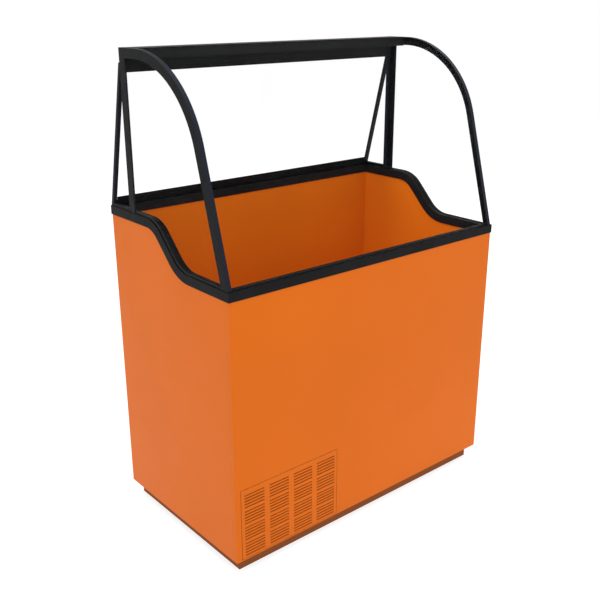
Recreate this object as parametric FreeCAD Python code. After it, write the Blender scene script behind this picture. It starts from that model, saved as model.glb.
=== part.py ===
import FreeCAD, Part
import math
import os

from FreeCAD import Vector

# Ice-cream dipping cabinet: an open-topped freezer tub with a clear curved canopy.
# Frame: origin on the floor under the centre of the cabinet, front faces -Y, up is +Z.
# All lengths are in millimetres and all angles in degrees.

# ---------------------------------------------------------------- driving dimensions
BODY_W = 1189.0            # over the painted side panels
BODY_D = 667.0             # over the painted front and rear panels
PLINTH_H = 50.0
PLINTH_INSET = 27.0
PLINTH_SHEET = 2.0
PLINTH_FLANGE = 32.0
LOW_TOP = 972.0            # top of the rim at the front
HIGH_TOP = 1108.0          # top of the rim at the rear
TOTAL_H = 1620.0

SKIN = 1.2                 # painted outer sheet
LINER = 1.0                # tub lining sheet
WALL = 29.5                # skin + foam + liner
PAN = 1.5                  # base pan sheet
FLOOR_Z = 110.0            # inside floor of the tub
STEP_Z = 369.0             # inside top of the step over the machine bay
CORNER_R = 3.0             # folded corners of the skin
FOLD = 15.0                # return folds of the skin
SEAM = 0.4                 # gap where the front panel meets a side panel
REAR_INSET = 3.5           # rear panel's edges inside the corners of the skin
FIT = 0.5                  # play round panes and trimmed ends

RIM_T = 2.0                # rim extrusion wall, also its overhang past the skin
RIM_H = 30.5
RIM_EDGE_R = 1.6
CREST_R = 115.0            # both bends of the sides' S-shaped crest
CREST_HIGH_Y = 107.0       # where the level rear part of the crest ends
CREST_SLOPE = 45.0

ARCH_R = 350.0
ARCH_Y = 119.0             # centre of the arch's curve
ARCH_LEAN = 15.8           # lean of the straight foot of the arch
ANGLE_T = 3.0              # canopy angle section, wall
ARCH_FLANGE = 30.0
ARCH_FACE = 15.5
POST_Y = 209.5             # rear face of the posts
POST_SIDE = 31.5
POST_REAR = 22.0

HEADER_Y0 = 134.5
HEADER_Y1 = 206.5
HEADER_T = 2.0
HEADER_FRONT = 32.0
HEADER_REAR = 75.0

RAKE = 14.0                # lean of the rear door plane from vertical
RAKE_Y = 327.1             # door plane's centre at height RAKE_Z
RAKE_Z = 1113.0
BRACE_T = 12.5
BRACE_X = 587.0
BRACE_TOP = 1575.0
SILL_H = 9.0               # bar on the rim between post and brace

LAMP_X = 540.0             # half of the lamp's length
LAMP_Y0 = 150.0
LAMP_Y1 = 192.0
LAMP_H = 22.0
LAMP_WALL = 2.0
DIFFUSER_GAP = 0.2
DIFFUSER_WALL = 1.8
DIFFUSER_FLOOR = 2.5
DIFFUSER_H = 13.0
DIFFUSER_DROP = 3.0        # how far the diffuser hangs below its housing
DIFFUSER_R = 4.0

GLASS_FRONT = 6.0
GLASS_SIDE = 4.0
SEAL_T = 2.0
SEAL_SIDE = 5.4            # width of the seals under the side panes
SEAL_FRONT = 6.6           # width of the seal under the front pane

DOOR_T = 4.0
DOOR_GAP = 2.1             # between the two doors
DOOR_PLAY = 0.3
DOOR_Z0 = 1112.5
DOOR_Z1 = 1567.0
DOOR_X = 571.0             # outer edge of each closed door
DOOR_LAP = 22.0            # how far each door passes the middle
FINGER_HOLE_D = 32.0
FINGER_HOLE_Z = 1330.0
FINGER_HOLE_INSET = 36.0   # from the door's outer edge to the hole's centre
TRACK_RIB = 1.5
TRACK_TOP_X = 572.0
TRACK_BOTTOM_X = 580.0     # the bottom track reaches both braces
TRACK_FLOOR = 3.5
TRACK_FRONT_H = 29.0       # the front wall stands higher than rib and rear wall
TRACK_FRONT_LIP = 0.4
TRACK_RIB_H = 16.0
TRACK_TOP_Z0 = 1554.0
TRACK_TOP_Z1 = 1574.0

GRILLE_X0 = -572.5
GRILLE_W = 407.0
GRILLE_Z0 = 56.0
GRILLE_H = 254.0
GRILLE_GAP = 1.5
GRILLE_LAP = 8.0           # backing frame behind the front panel, top and sides
GRILLE_LAP_FOOT = 4.0
GRILLE_FRAME = 10.0        # backing frame seen from inside, top and sides
GRILLE_FRAME_FOOT = 6.0
LOUVRE_X = 13.0            # first louvre: in from the grille's left edge
LOUVRE_Z = 20.0            # first louvre: down from the grille's top edge
LOUVRE_BLOCKS = 4          # blocks across and down
LOUVRE_BLADES = 5          # louvres in each block
LOUVRE_W = 79.5
LOUVRE_COLUMN = 101.0      # pitch of the blocks across
LOUVRE_ROW = 59.3          # pitch of the blocks down
LOUVRE_PITCH = 10.8
LOUVRE_H = 5.2
LOUVRE_DEPTH = 6.4
BLADE_TIP = 0.7            # half thickness of a louvre's free edge

BAY_X = -152.0             # machine bay: its inner wall
BAY_Z = 334.0              # machine bay: its ceiling
BAY_FOAM = 34.8            # foam between the bay and the tub
LINING_INSET = 2.0         # play between the bay's lining and the front panel
COIL = 8.0                 # square section of the evaporator tube
COIL_LEVELS = (150.0, 230.0, 310.0, 400.0, 490.0, 580.0, 670.0, 760.0, 850.0)
COIL_GAP_X0 = -80.0        # gap at the rear where the loops climb
COIL_GAP_X1 = -40.0
FEED_Z = 300.0             # coil's inlet at the bay's wall
RETURN_Z = 318.0           # coil's outlet at the bay's wall
COIL_STUB = 15.0           # length of both ends inside the bay
TUBE_D = 8.0

COVER_X0 = -560.0
COVER_X1 = -190.0
COVER_Z0 = 68.0
COVER_Z1 = 313.0
COVER_LAP = 8.0
SLOT_H = 5.0
SLOT_PITCH = 13.5
SLOT_ROWS = 15
SLOT_MARGIN = 24.0         # from the cover's lower edge to the lowest slots
SLOT_SPANS = ((-538.0, -455.0), (-447.0, -364.0))
SHORT_SPAN = (-335.0, -215.0)    # slots that stop under the control recess
SHORT_MARGIN = 12.0
POCKET_X0 = -345.0
POCKET_X1 = -205.0
POCKET_Z0 = 208.0
POCKET_Z1 = 298.0
POCKET_DEPTH = 40.0
POCKET_LIP = 4.0
KNOB_X = -310.0
KNOB_Z = 253.0
KNOB_D = 38.0
KNOB_SKIRT = 5.0
KNOB_H = 18.0
KNOB_GAP = 1.5             # under the knob's skirt
FLUTES = 12
FLUTE_R = 2.4
FLUTE_PITCH_R = 15.2
SPINDLE_R = 3.0
SWITCH_X = (-262.0, -228.0)
SWITCH_Z = 272.0
SWITCH_HALF_W = 7.0
SWITCH_HALF_H = 10.0
SWITCH_DEPTH = 19.0
SWITCH_WALL = 1.1
SWITCH_LIP = 1.5
SWITCH_ROOM = 11.0
ROCKER_HALF_W = 5.5
ROCKER_ANGLE = 9.0         # either way from level
PIVOT_DEPTH = 6.2          # rocker's pivot behind the pocket's back plate
INLET_X = -245.0
INLET_Z = 232.0
INLET_HALF_W = 14.0
INLET_HALF_H = 10.0
INLET_DEPTH = 20.0
INLET_WALL = 2.0
INLET_LIP = 3.0
INLET_ROOM = 16.0
SOCKET_LIP_T = 1.5         # thickness of the lips of switches and inlet

COMPRESSOR_X = -400.0
COMPRESSOR_Y = 40.0
COMPRESSOR_R = 80.0
COMPRESSOR_H = 175.0
COMPRESSOR_WALL = 3.0
COMPRESSOR_DOME_R = 34.0
COMPRESSOR_SEAM_Z = 96.0   # weld collar above the foot plate
COMPRESSOR_SEAM_H = 6.0
FOOT_PLATE_X = 100.0       # half sizes of the foot plate
FOOT_PLATE_Y = 72.0
FOOT_PLATE_R = 18.0
FOOT_X = 84.0              # rubber feet from the compressor's axis
FOOT_Y = 58.0
FOOT_H = 14.0
FOOT_R = 13.0
FOOT_NECK_R = 5.0
FOOT_LIP_R = 8.5
FOOT_LIP_H = 4.0
STUD_R = 3.0
FAN_X = -377.5
FAN_Z = 187.5
FAN_Y = -241.0
FAN_R = 92.0
FAN_DUCT_R = 98.0
FAN_BLADES = 5
FAN_PITCH = 26.0           # twist of the blades
FAN_CHORD = 48.0
FAN_BLADE_T = 2.0
HUB_R = 20.0
HUB_H = 22.0
SHROUD_T = 1.5
SHROUD_DEPTH = 7.0
DUCT_Y = -226.0            # rear end of the round duct
ARM_W = 8.0
ARM_T = 3.0
MOTOR_PLATE_R = 38.0
MOTOR_Y0 = -224.0
MOTOR_R = 36.0
MOTOR_L = 54.0
SHAFT_R = 3.0
SHAFT_ENTRY = 15.0         # length of the shaft inside the motor
CONDENSER_X0 = -520.0
CONDENSER_X1 = -235.0
CONDENSER_Z0 = 75.0
CONDENSER_Z1 = 300.0
CONDENSER_Y0 = -300.0
CONDENSER_Y1 = -262.0
CONDENSER_ROWS = 8
CONDENSER_PITCH = 26.0
CONDENSER_TOP = 21.5       # from the fins' top edge to the first row
CONDENSER_TUBE_R = 4.0
CONDENSER_STUB = 20.0      # tube ends beyond the last fin
FIN_PITCH = 9.5
FIN_T = 0.6
END_FIN_T = 1.2

LINE_X = -190.0            # plane of the lines along the bay's inner wall
LINE_STEP = 14.0           # suction line beside it
LINE_RISE_Y = 260.0        # where the feed line climbs
LINE_BEND = 14.0
FEED_BEND = 10.0
PORT_Z = 200.0             # lines' ports on the compressor
PORT_RUN = 35.0
DRIER_Y0 = -120.0
DRIER_Y1 = -20.0
DRIER_R = 11.0
DRIER_CONE = 12.0

DRAIN_X = 470.0
DRAIN_Y = -220.0
DRAIN_BORE = 20.0
DRAIN_WALL = 3.0
DRAIN_Z0 = 22.0            # lower end of the spout
DRAIN_FLANGE_R = 24.0
DRAIN_FLANGE_T = 1.5
PLUG_HEAD_R = 16.0
PLUG_HEAD_T = 4.0
PLUG_STEM = 22.0
PLUG_RING_R = 9.0
PLUG_RING_T = 1.8

SCREW_HEAD_D = 7.5
SCREW_HEAD_H = 1.6
SCREW_D = 3.5
SCREW_L = 8.0
SCREW_RECESS = 2.2         # half length of the cross recess
SCREW_RECESS_T = 0.4       # half width of the cross recess
COVER_SCREW_INSET = 4.0
SIDE_SCREW_INSET = 9.0
SIDE_SCREWS_Z = (120.0, 420.0, 720.0, 1020.0)
POST_SCREW_X = 583.0
POST_SCREWS_Z = (1586.0, 1608.0)

# ---------------------------------------------------------------- derived places
HX = BODY_W / 2
HY = BODY_D / 2
TUB_X = HX - WALL          # inner faces of the tub lining
TUB_Y = HY - WALL
STEP_X = BAY_X + SKIN + BAY_FOAM
FOAM_REAR = HY - 2 * SKIN  # the rear panel sits one sheet inside the side panels' folds
SIN_SLOPE = math.sin(math.radians(CREST_SLOPE))
COS_SLOPE = math.cos(math.radians(CREST_SLOPE))
CREST_RUN = (HIGH_TOP - LOW_TOP - 2 * CREST_R * (1 - COS_SLOPE)) * COS_SLOPE / SIN_SLOPE
CREST_LOW_Y = CREST_HIGH_Y - 2 * CREST_R * SIN_SLOPE - CREST_RUN
ARCH_Z = TOTAL_H - ARCH_R
TAN_RAKE = math.tan(math.radians(RAKE))
COS_RAKE = math.cos(math.radians(RAKE))
DOOR_OUT = DOOR_GAP / 2 + DOOR_T   # outer face of either door from the middle plane
GROOVE_OUT = DOOR_OUT + DOOR_PLAY
GROOVE_IN = DOOR_GAP / 2 - DOOR_PLAY
PAN_TOP = PLINTH_H + PAN
COMPRESSOR_Z0 = PAN_TOP + FOOT_H   # underside of the compressor's foot plate
STUB_X = BAY_X - COIL_STUB
POCKET_Y = HY - SKIN - POCKET_DEPTH    # rear face of the pocket's back plate
PIVOT_Y = POCKET_Y - PIVOT_DEPTH
X_AXIS = Vector(1, 0, 0)
Y_AXIS = Vector(0, 1, 0)
Z_AXIS = Vector(0, 0, 1)


# ---------------------------------------------------------------- shape helpers
def box(x0, x1, y0, y1, z0, z1):
    return Part.makeBox(x1 - x0, y1 - y0, z1 - z0, Vector(x0, y0, z0))


def cylinder(radius, start, axis, length):
    return Part.makeCylinder(radius, length, start, axis)


def prism(edges, x0, x1):
    """Closed loop of edges in the plane x = 0, extruded from x0 to x1."""
    face = Part.Face(Part.Wire(Part.__sortEdges__(edges)))
    face.translate(Vector(x0, 0, 0))
    return face.extrude(Vector(x1 - x0, 0, 0))


def yz(y, z):
    return Vector(0, y, z)


def polygon(points, x0, x1):
    corners = [yz(y, z) for y, z in points]
    loop = Part.makePolygon(corners + [corners[0]])
    return prism(loop.Edges, x0, x1)


def plan_prism(points, z0, z1):
    corners = [Vector(x, y, z0) for x, y in points]
    face = Part.Face(Part.makePolygon(corners + [corners[0]]))
    return face.extrude(Vector(0, 0, z1 - z0))


def mirrored(shape, axis=X_AXIS):
    return shape.mirror(Vector(0, 0, 0), axis)


def fuse(first, *rest):
    return first.fuse(list(rest)).removeSplitter()


def centred(x, z, half_w, half_h, y0, y1):
    """Box round the point (x, z) of a rear face."""
    return box(x - half_w, x + half_w, y0, y1, z - half_h, z + half_h)


def upright_edges(shape):
    picked = []
    for edge in shape.Edges:
        a, b = (v.Point for v in edge.Vertexes)
        if abs(a.x - b.x) + abs(a.y - b.y) < 1e-6:
            picked.append(edge)
    return picked


def line(a, b):
    return Part.LineSegment(a, b).toShape()


def arc(a, middle, b):
    return Part.Arc(a, middle, b).toShape()


def bent_tube(points, radius, bend):
    """Round tube through the points, with its corners turned by arcs of radius bend."""
    edges = []
    start = points[0]
    for before, corner, after in zip(points, points[1:], points[2:]):
        incoming = (corner - before).normalize()
        outgoing = (after - corner).normalize()
        half_turn = incoming.getAngle(outgoing) / 2
        setback = bend * math.tan(half_turn)
        enter = corner - incoming * setback
        leave = corner + outgoing * setback
        inward = (outgoing - incoming).normalize()
        centre = corner + inward * (bend / math.cos(half_turn))
        edges.append(line(start, enter))
        edges.append(arc(enter, centre - inward * bend, leave))
        start = leave
    edges.append(line(start, points[-1]))
    path = Part.Wire(edges)
    heading = (points[1] - points[0]).normalize()
    ring = Part.Wire(Part.Circle(points[0], heading, radius).toShape())
    return path.makePipeShell([ring], True, True)


# ---------------------------------------------------------------- the S-shaped crest
def crest_edges(offset, y_front, y_rear):
    """Top line of a side wall, offset inward and square to itself, from the rear forward."""
    high_r = CREST_R - offset
    low_r = CREST_R + offset
    high_z = HIGH_TOP - CREST_R
    low_z = LOW_TOP + CREST_R
    half = math.radians(CREST_SLOPE / 2)
    high_start = yz(CREST_HIGH_Y, high_z + high_r)
    high_mid = yz(CREST_HIGH_Y - high_r * math.sin(half), high_z + high_r * math.cos(half))
    high_end = yz(CREST_HIGH_Y - high_r * SIN_SLOPE, high_z + high_r * COS_SLOPE)
    low_start = yz(CREST_LOW_Y + low_r * SIN_SLOPE, low_z - low_r * COS_SLOPE)
    low_mid = yz(CREST_LOW_Y + low_r * math.sin(half), low_z - low_r * math.cos(half))
    low_end = yz(CREST_LOW_Y, low_z - low_r)
    return [
        line(yz(y_rear, HIGH_TOP - offset), high_start),
        arc(high_start, high_mid, high_end),
        line(high_end, low_start),
        arc(low_start, low_mid, low_end),
        line(low_end, yz(y_front, LOW_TOP - offset)),
    ]


def below_crest(offset, y_front, y_rear, z0, x0, x1):
    rear = line(yz(y_rear, z0), yz(y_rear, HIGH_TOP - offset))
    front = line(yz(y_front, LOW_TOP - offset), yz(y_front, z0))
    bottom = line(yz(y_front, z0), yz(y_rear, z0))
    return prism(crest_edges(offset, y_front, y_rear) + [rear, front, bottom], x0, x1)


def crest_band(outer, inner, y_front, y_rear, x0, x1):
    rear = line(yz(y_rear, HIGH_TOP - outer), yz(y_rear, HIGH_TOP - inner))
    front = line(yz(y_front, LOW_TOP - outer), yz(y_front, LOW_TOP - inner))
    top = crest_edges(outer, y_front, y_rear)
    bottom = crest_edges(inner, y_front, y_rear)
    return prism(top + bottom + [rear, front], x0, x1)


# ---------------------------------------------------------------- the canopy's arch
def arch_foot_y(offset, z):
    lean = math.radians(ARCH_LEAN)
    radius = ARCH_R - offset
    tangent_y = ARCH_Y - radius * math.cos(lean)
    tangent_z = ARCH_Z + radius * math.sin(lean)
    return tangent_y - (tangent_z - z) * math.tan(lean)


def arch_edges(offset, z_foot, y_end):
    """Side outline of the arch, offset inward, from its foot up and back to y_end."""
    lean = math.radians(ARCH_LEAN)
    radius = ARCH_R - offset
    middle = (math.pi - lean + math.pi / 2) / 2
    foot = yz(arch_foot_y(offset, z_foot), z_foot)
    tangent = yz(ARCH_Y - radius * math.cos(lean), ARCH_Z + radius * math.sin(lean))
    shoulder = yz(ARCH_Y + radius * math.cos(middle), ARCH_Z + radius * math.sin(middle))
    crown_y = min(ARCH_Y, y_end)
    crown_z = ARCH_Z + math.sqrt(radius ** 2 - (ARCH_Y - crown_y) ** 2)
    crown = yz(crown_y, crown_z)
    edges = [line(foot, tangent), arc(tangent, shoulder, crown)]
    if y_end > ARCH_Y:
        edges.append(line(crown, yz(y_end, crown_z)))
    return edges


def arch_band(outer, inner, z_foot, y_end, x0, x1):
    top = arch_edges(outer, z_foot, y_end)
    bottom = arch_edges(inner, z_foot, y_end)
    foot = line(top[0].Vertexes[0].Point, bottom[0].Vertexes[0].Point)
    end = line(top[-1].Vertexes[-1].Point, bottom[-1].Vertexes[-1].Point)
    return prism(top + bottom + [foot, end], x0, x1)


# ---------------------------------------------------------------- the raked rear plane
def rake_y(z, offset):
    """Y of a plane parallel to the doors, offset square to it towards the rear."""
    return RAKE_Y + (RAKE_Z - z) * TAN_RAKE + offset / COS_RAKE


def raked_slab(offset0, offset1, z0, z1, x0, x1):
    points = [
        (rake_y(z0, offset0), z0),
        (rake_y(z0, offset1), z0),
        (rake_y(z1, offset1), z1),
        (rake_y(z1, offset0), z1),
    ]
    return polygon(points, x0, x1)


# ---------------------------------------------------------------- body shell
def plinth_rails():
    """Four folded rails: a top flange, a web and a bottom flange each, mitred at the corners."""
    x = HX - PLINTH_INSET
    y = HY - PLINTH_INSET
    flange = PLINTH_FLANGE

    def rail(half, reach):
        web = box(-half, half, reach - PLINTH_SHEET, reach, 0, PLINTH_H)
        top = box(-half, half, reach - flange, reach, PLINTH_H - PLINTH_SHEET, PLINTH_H)
        bottom = box(-half, half, reach - flange, reach, 0, PLINTH_SHEET)
        return fuse(web, top, bottom)

    end_wedge = [(-x, y), (x, y), (x - flange, y - flange), (flange - x, y - flange)]
    rear = rail(x, y).common(plan_prism(end_wedge, 0, PLINTH_H))
    side = rail(y, x)
    side.rotate(Vector(0, 0, 0), Z_AXIS, -90)
    side_wedge = [(x, -y), (x, y), (x - flange, y - flange), (x - flange, flange - y)]
    right = side.common(plan_prism(side_wedge, 0, PLINTH_H))
    return Part.makeCompound([mirrored(rear, Y_AXIS), rear, right, mirrored(right)])


def base_pan(drain, pan_cuts):
    x = HX - SKIN
    y = HY - SKIN
    pan = box(-x, x, -y, y, PLINTH_H, PAN_TOP)
    pan = pan.makeFillet(CORNER_R - SKIN, upright_edges(pan))
    pan = pan.common(box(-x, x, -y, FOAM_REAR, PLINTH_H, PAN_TOP))
    return pan.cut(drain).cut(pan_cuts)


def folded_shell():
    """All of the painted skin in one piece, before it is divided into its panels."""
    z1 = HIGH_TOP + 10
    outer = box(-HX, HX, -HY, HY, PLINTH_H, z1)
    outer = outer.makeFillet(CORNER_R, upright_edges(outer))
    inner = box(-HX + SKIN, HX - SKIN, -HY + SKIN, HY - SKIN, PLINTH_H - 1, z1 + 1)
    inner = inner.makeFillet(CORNER_R - SKIN, upright_edges(inner))
    under = below_crest(RIM_T, -HY - 1, HY + 1, 0, -HX - 1, HX + 1)
    return outer.cut(inner).common(under)


def front_panel(shell):
    sheet = shell.common(box(-HX - 1, HX + 1, -HY - 1, -HY + FOLD, 0, TOTAL_H))
    x1 = GRILLE_X0 + GRILLE_W + GRILLE_GAP
    z1 = GRILLE_Z0 + GRILLE_H + GRILLE_GAP
    opening = box(GRILLE_X0 - GRILLE_GAP, x1, -HY - 1, -HY + SKIN + 1, GRILLE_Z0 - GRILLE_GAP, z1)
    return sheet.cut(opening)


def side_panel(shell):
    side = box(HX - FOLD, HX + 1, -HY + FOLD + SEAM, HY + 1, 0, TOTAL_H)
    return shell.common(side)


def rear_panel(screws):
    x = HX - REAR_INSET
    sheet = box(-x, x, FOAM_REAR, FOAM_REAR + SKIN, PLINTH_H, HIGH_TOP - RIM_T)
    opening = box(
        COVER_X0 + COVER_LAP,
        COVER_X1 - COVER_LAP,
        FOAM_REAR - 1,
        HY,
        COVER_Z0 + COVER_LAP,
        COVER_Z1 - COVER_LAP,
    )
    return sheet.cut(opening).cut(screws)


def rear_cover(screws):
    sheet = box(COVER_X0, COVER_X1, HY - SKIN, HY, COVER_Z0, COVER_Z1)
    window = box(POCKET_X0, POCKET_X1, HY - 3, HY + 1, POCKET_Z0, POCKET_Z1)
    slots = []
    for row in range(SLOT_ROWS):
        z0 = COVER_Z0 + SLOT_MARGIN + row * SLOT_PITCH
        z1 = z0 + SLOT_H
        under_pocket = z1 < POCKET_Z0 - SHORT_MARGIN
        spans = SLOT_SPANS + (SHORT_SPAN,) if under_pocket else SLOT_SPANS
        slots += [box(x0, x1, HY - 3, HY + 1, z0, z1) for x0, x1 in spans]
    return sheet.cut([window] + slots).cut(screws)


def grille_louvres():
    """Places of the louvres: left edge and top edge of each."""
    places = []
    for column in range(LOUVRE_BLOCKS):
        for row in range(LOUVRE_BLOCKS):
            for blade in range(LOUVRE_BLADES):
                x = GRILLE_X0 + LOUVRE_X + column * LOUVRE_COLUMN
                drop = LOUVRE_Z + row * LOUVRE_ROW + blade * LOUVRE_PITCH
                places.append((x, GRILLE_Z0 + GRILLE_H - drop))
    return places


def front_grille():
    """Sheet with blocks of louvres pressed inward, each blade rising from its slot's foot."""
    x0 = GRILLE_X0
    x1 = GRILLE_X0 + GRILLE_W
    z0 = GRILLE_Z0
    z1 = GRILLE_Z0 + GRILLE_H
    face = -HY
    plate = box(x0, x1, face, face + SKIN, z0, z1)
    lap = GRILLE_LAP
    back = box(x0 - lap, x1 + lap, face + SKIN, face + 2 * SKIN, z0 - GRILLE_LAP_FOOT, z1 + lap)
    window = box(
        x0 + GRILLE_FRAME, x1 - GRILLE_FRAME, face, face + 5, z0 + GRILLE_FRAME_FOOT, z1 - GRILLE_FRAME
    )
    slots = []
    blades = []
    for x, top in grille_louvres():
        foot = top - LOUVRE_H
        slots.append(box(x, x + LOUVRE_W, face - 1, face + 5, foot, top))
        profile = [
            (face, foot - SKIN),
            (face, foot),
            (face + LOUVRE_DEPTH, foot + LOUVRE_DEPTH),
            (face + LOUVRE_DEPTH + BLADE_TIP, foot + LOUVRE_DEPTH - BLADE_TIP),
            (face + SKIN, foot - SKIN),
        ]
        blades.append(polygon(profile, x, x + LOUVRE_W))
    return fuse(plate.cut(slots), back.cut(window), *blades)


# ---------------------------------------------------------------- tub and insulation
def tank_walls():
    top = RIM_T
    x = TUB_X
    y = TUB_Y
    below_step = box(-x - LINER, STEP_X, -HY, HY, 0, STEP_Z - LINER)
    front = box(-x - LINER, x + LINER, -y - LINER, -y, FLOOR_Z, LOW_TOP - top).cut(below_step)
    rear = box(-x - LINER, x + LINER, y, y + LINER, FLOOR_Z, HIGH_TOP - top).cut(below_step)
    right = below_crest(top, -y, y, FLOOR_Z, x, x + LINER)
    left = mirrored(below_crest(top, -y, y, STEP_Z, x, x + LINER))
    floor = box(STEP_X, x + LINER, -y - LINER, y + LINER, FLOOR_Z - LINER, FLOOR_Z)
    step_wall = box(STEP_X, STEP_X + LINER, -y, y, FLOOR_Z, STEP_Z - LINER)
    step_top = box(-x - LINER, STEP_X + LINER, -y, y, STEP_Z - LINER, STEP_Z)
    return {
        "tank_front_wall": front,
        "tank_rear_wall": rear,
        "tank_left_wall": left,
        "tank_right_wall": right,
        "tank_floor": floor,
        "tank_step_wall": step_wall,
        "tank_step_top": step_top,
    }


def evaporator_coil():
    """Square tube wrapped round the tub in the foam, as one serpentine of stacked loops."""
    outer_y = TUB_Y + LINER
    far_y = outer_y + 2 * COIL
    right = TUB_X + LINER
    pieces = []
    for level in COIL_LEVELS:
        left = STEP_X if level < STEP_Z else -right
        ring = box(left - COIL, right + COIL, -outer_y - COIL, outer_y + COIL, level, level + COIL)
        hole = box(left, right, -outer_y, outer_y, level - 1, level + COIL + 1)
        gap = box(COIL_GAP_X0, COIL_GAP_X1, 0, HY, level - 1, level + COIL + 1)
        pieces.append(ring.cut([hole, gap]))
    for index, (low, high) in enumerate(zip(COIL_LEVELS, COIL_LEVELS[1:])):
        x = COIL_GAP_X1 if index % 2 == 0 else COIL_GAP_X0 - COIL
        pieces.append(box(x, x + COIL, outer_y, outer_y + COIL, low, high + COIL))
    ends = (
        (COIL_GAP_X0 - COIL, COIL_LEVELS[0], FEED_Z),
        (COIL_GAP_X1, COIL_LEVELS[-1], RETURN_Z),
    )
    for x, loop_z, stub_z in ends:
        low, high = sorted((loop_z, stub_z))
        pieces.append(box(x, x + COIL, outer_y, far_y + COIL, loop_z, loop_z + COIL))
        pieces.append(box(x, x + COIL, far_y, far_y + COIL, low, high + COIL))
        pieces.append(box(STUB_X, x + COIL, far_y, far_y + COIL, stub_z, stub_z + COIL))
    return fuse(*pieces)


def machine_bay_lining(coil):
    """One folded sheet: the ceiling and the inner wall of the machine bay."""
    y0 = -HY + SKIN + LINING_INSET
    ceiling = box(-HX + SKIN, BAY_X + SKIN, y0, FOAM_REAR, BAY_Z, BAY_Z + SKIN)
    wall = box(BAY_X, BAY_X + SKIN, y0, FOAM_REAR, PAN_TOP, BAY_Z + SKIN)
    return fuse(ceiling, wall).cut(coil)


def foam_insulation(solids):
    block = below_crest(RIM_T, -HY + SKIN, FOAM_REAR, PAN_TOP, -HX + SKIN, HX - SKIN)
    deep = box(STEP_X, TUB_X + LINER, -TUB_Y - LINER, TUB_Y + LINER, FLOOR_Z - LINER, TOTAL_H)
    shallow = box(-TUB_X - LINER, STEP_X, -TUB_Y - LINER, TUB_Y + LINER, STEP_Z - LINER, TOTAL_H)
    bay = box(-HX, BAY_X + SKIN, -HY, HY, 0, BAY_Z + SKIN)
    return block.cut([deep, shallow, bay]).cut(solids)


# ---------------------------------------------------------------- rim
def soften(profile, chosen):
    edges = [edge for edge in profile.Edges if chosen(edge)]
    return profile.makeFillet(RIM_EDGE_R, edges)


def rim_side():
    """Right-hand rim: a channel that caps the S-shaped wall, mitred at both ends."""
    outer = HX + RIM_T
    inner = TUB_X - RIM_T
    end = HY + RIM_T
    lip_out = crest_band(0, RIM_H, -end, end, HX, outer)
    lip_in = crest_band(0, RIM_H, -end, end, inner, TUB_X)
    cap = crest_band(0, RIM_T, -end, end, inner, outer)
    channel = fuse(lip_out, lip_in, cap)

    def on_crown(edge):
        middle = edge.valueAt((edge.FirstParameter + edge.LastParameter) / 2)
        at_side = min(abs(middle.x - outer), abs(middle.x - inner)) < 1e-4
        return at_side and abs(middle.y) < end - 1e-3 and middle.z > crest_height(middle.y) - 5

    channel = soften(channel, on_crown)
    width = outer - inner
    wedge = [(outer, -end), (outer, end), (inner, end - width), (inner, -end + width)]
    return channel.common(plan_prism(wedge, 0, TOTAL_H))


def crest_height(y):
    """Height of the crest line over a given y."""
    if y >= CREST_HIGH_Y:
        return HIGH_TOP
    if y <= CREST_LOW_Y:
        return LOW_TOP
    high_end = CREST_HIGH_Y - CREST_R * SIN_SLOPE
    low_start = CREST_LOW_Y + CREST_R * SIN_SLOPE
    if y >= high_end:
        return HIGH_TOP - CREST_R + math.sqrt(CREST_R ** 2 - (CREST_HIGH_Y - y) ** 2)
    if y <= low_start:
        return LOW_TOP + CREST_R - math.sqrt(CREST_R ** 2 - (y - CREST_LOW_Y) ** 2)
    fall = (high_end - y) * SIN_SLOPE / COS_SLOPE
    return HIGH_TOP - CREST_R * (1 - COS_SLOPE) - fall


def rim_end(top, facing):
    """Front or rear rim; facing is -1 for the front and 1 for the rear."""
    outer = HY + RIM_T
    inner = TUB_Y - RIM_T
    length = HX + RIM_T
    blank = box(-length, length, inner, outer, top - RIM_H, top)
    blank = soften(blank, lambda edge: edge.BoundBox.ZMin > top - 1 and edge.Length > BODY_W)
    core = box(-length - 1, length + 1, TUB_Y, HY, top - RIM_H - 1, top - RIM_T)
    width = outer - inner
    wedge = [(-length, outer), (length, outer), (length - width, inner), (-length + width, inner)]
    rim = blank.cut(core).common(plan_prism(wedge, 0, TOTAL_H))
    return mirrored(rim, Y_AXIS) if facing < 0 else rim


# ---------------------------------------------------------------- canopy frame
def arch():
    face = arch_band(0, ANGLE_T, LOW_TOP, HEADER_Y1, HX - ARCH_FACE, HX)
    flange = arch_band(0, ARCH_FLANGE, LOW_TOP, HEADER_Y1, HX - ANGLE_T, HX)
    return fuse(face, flange)


def post(screws):
    side_top = TOTAL_H - ARCH_FLANGE
    side = box(HX - ANGLE_T, HX, POST_Y - POST_SIDE, POST_Y, HIGH_TOP, side_top)
    rear = box(HX - POST_REAR, HX, POST_Y - ANGLE_T, POST_Y, HIGH_TOP, TOTAL_H)
    return fuse(side, rear).cut(screws)


def brace():
    half = BRACE_T / 2
    bar = raked_slab(-half, half, HIGH_TOP, BRACE_TOP, BRACE_X - half, BRACE_X + half)
    keep = box(0, HX, POST_Y, HY + RIM_T, HIGH_TOP, TOTAL_H)
    return bar.common(keep)


def side_sill():
    """Right-hand bar on the rim from the post's foot back to the brace's foot."""
    half = BRACE_T / 2
    top = HIGH_TOP + SILL_H
    profile = [
        (POST_Y, HIGH_TOP),
        (rake_y(HIGH_TOP, -half), HIGH_TOP),
        (rake_y(top, -half), top),
        (POST_Y, top),
    ]
    return polygon(profile, BRACE_X - half, BRACE_X + half)


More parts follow.
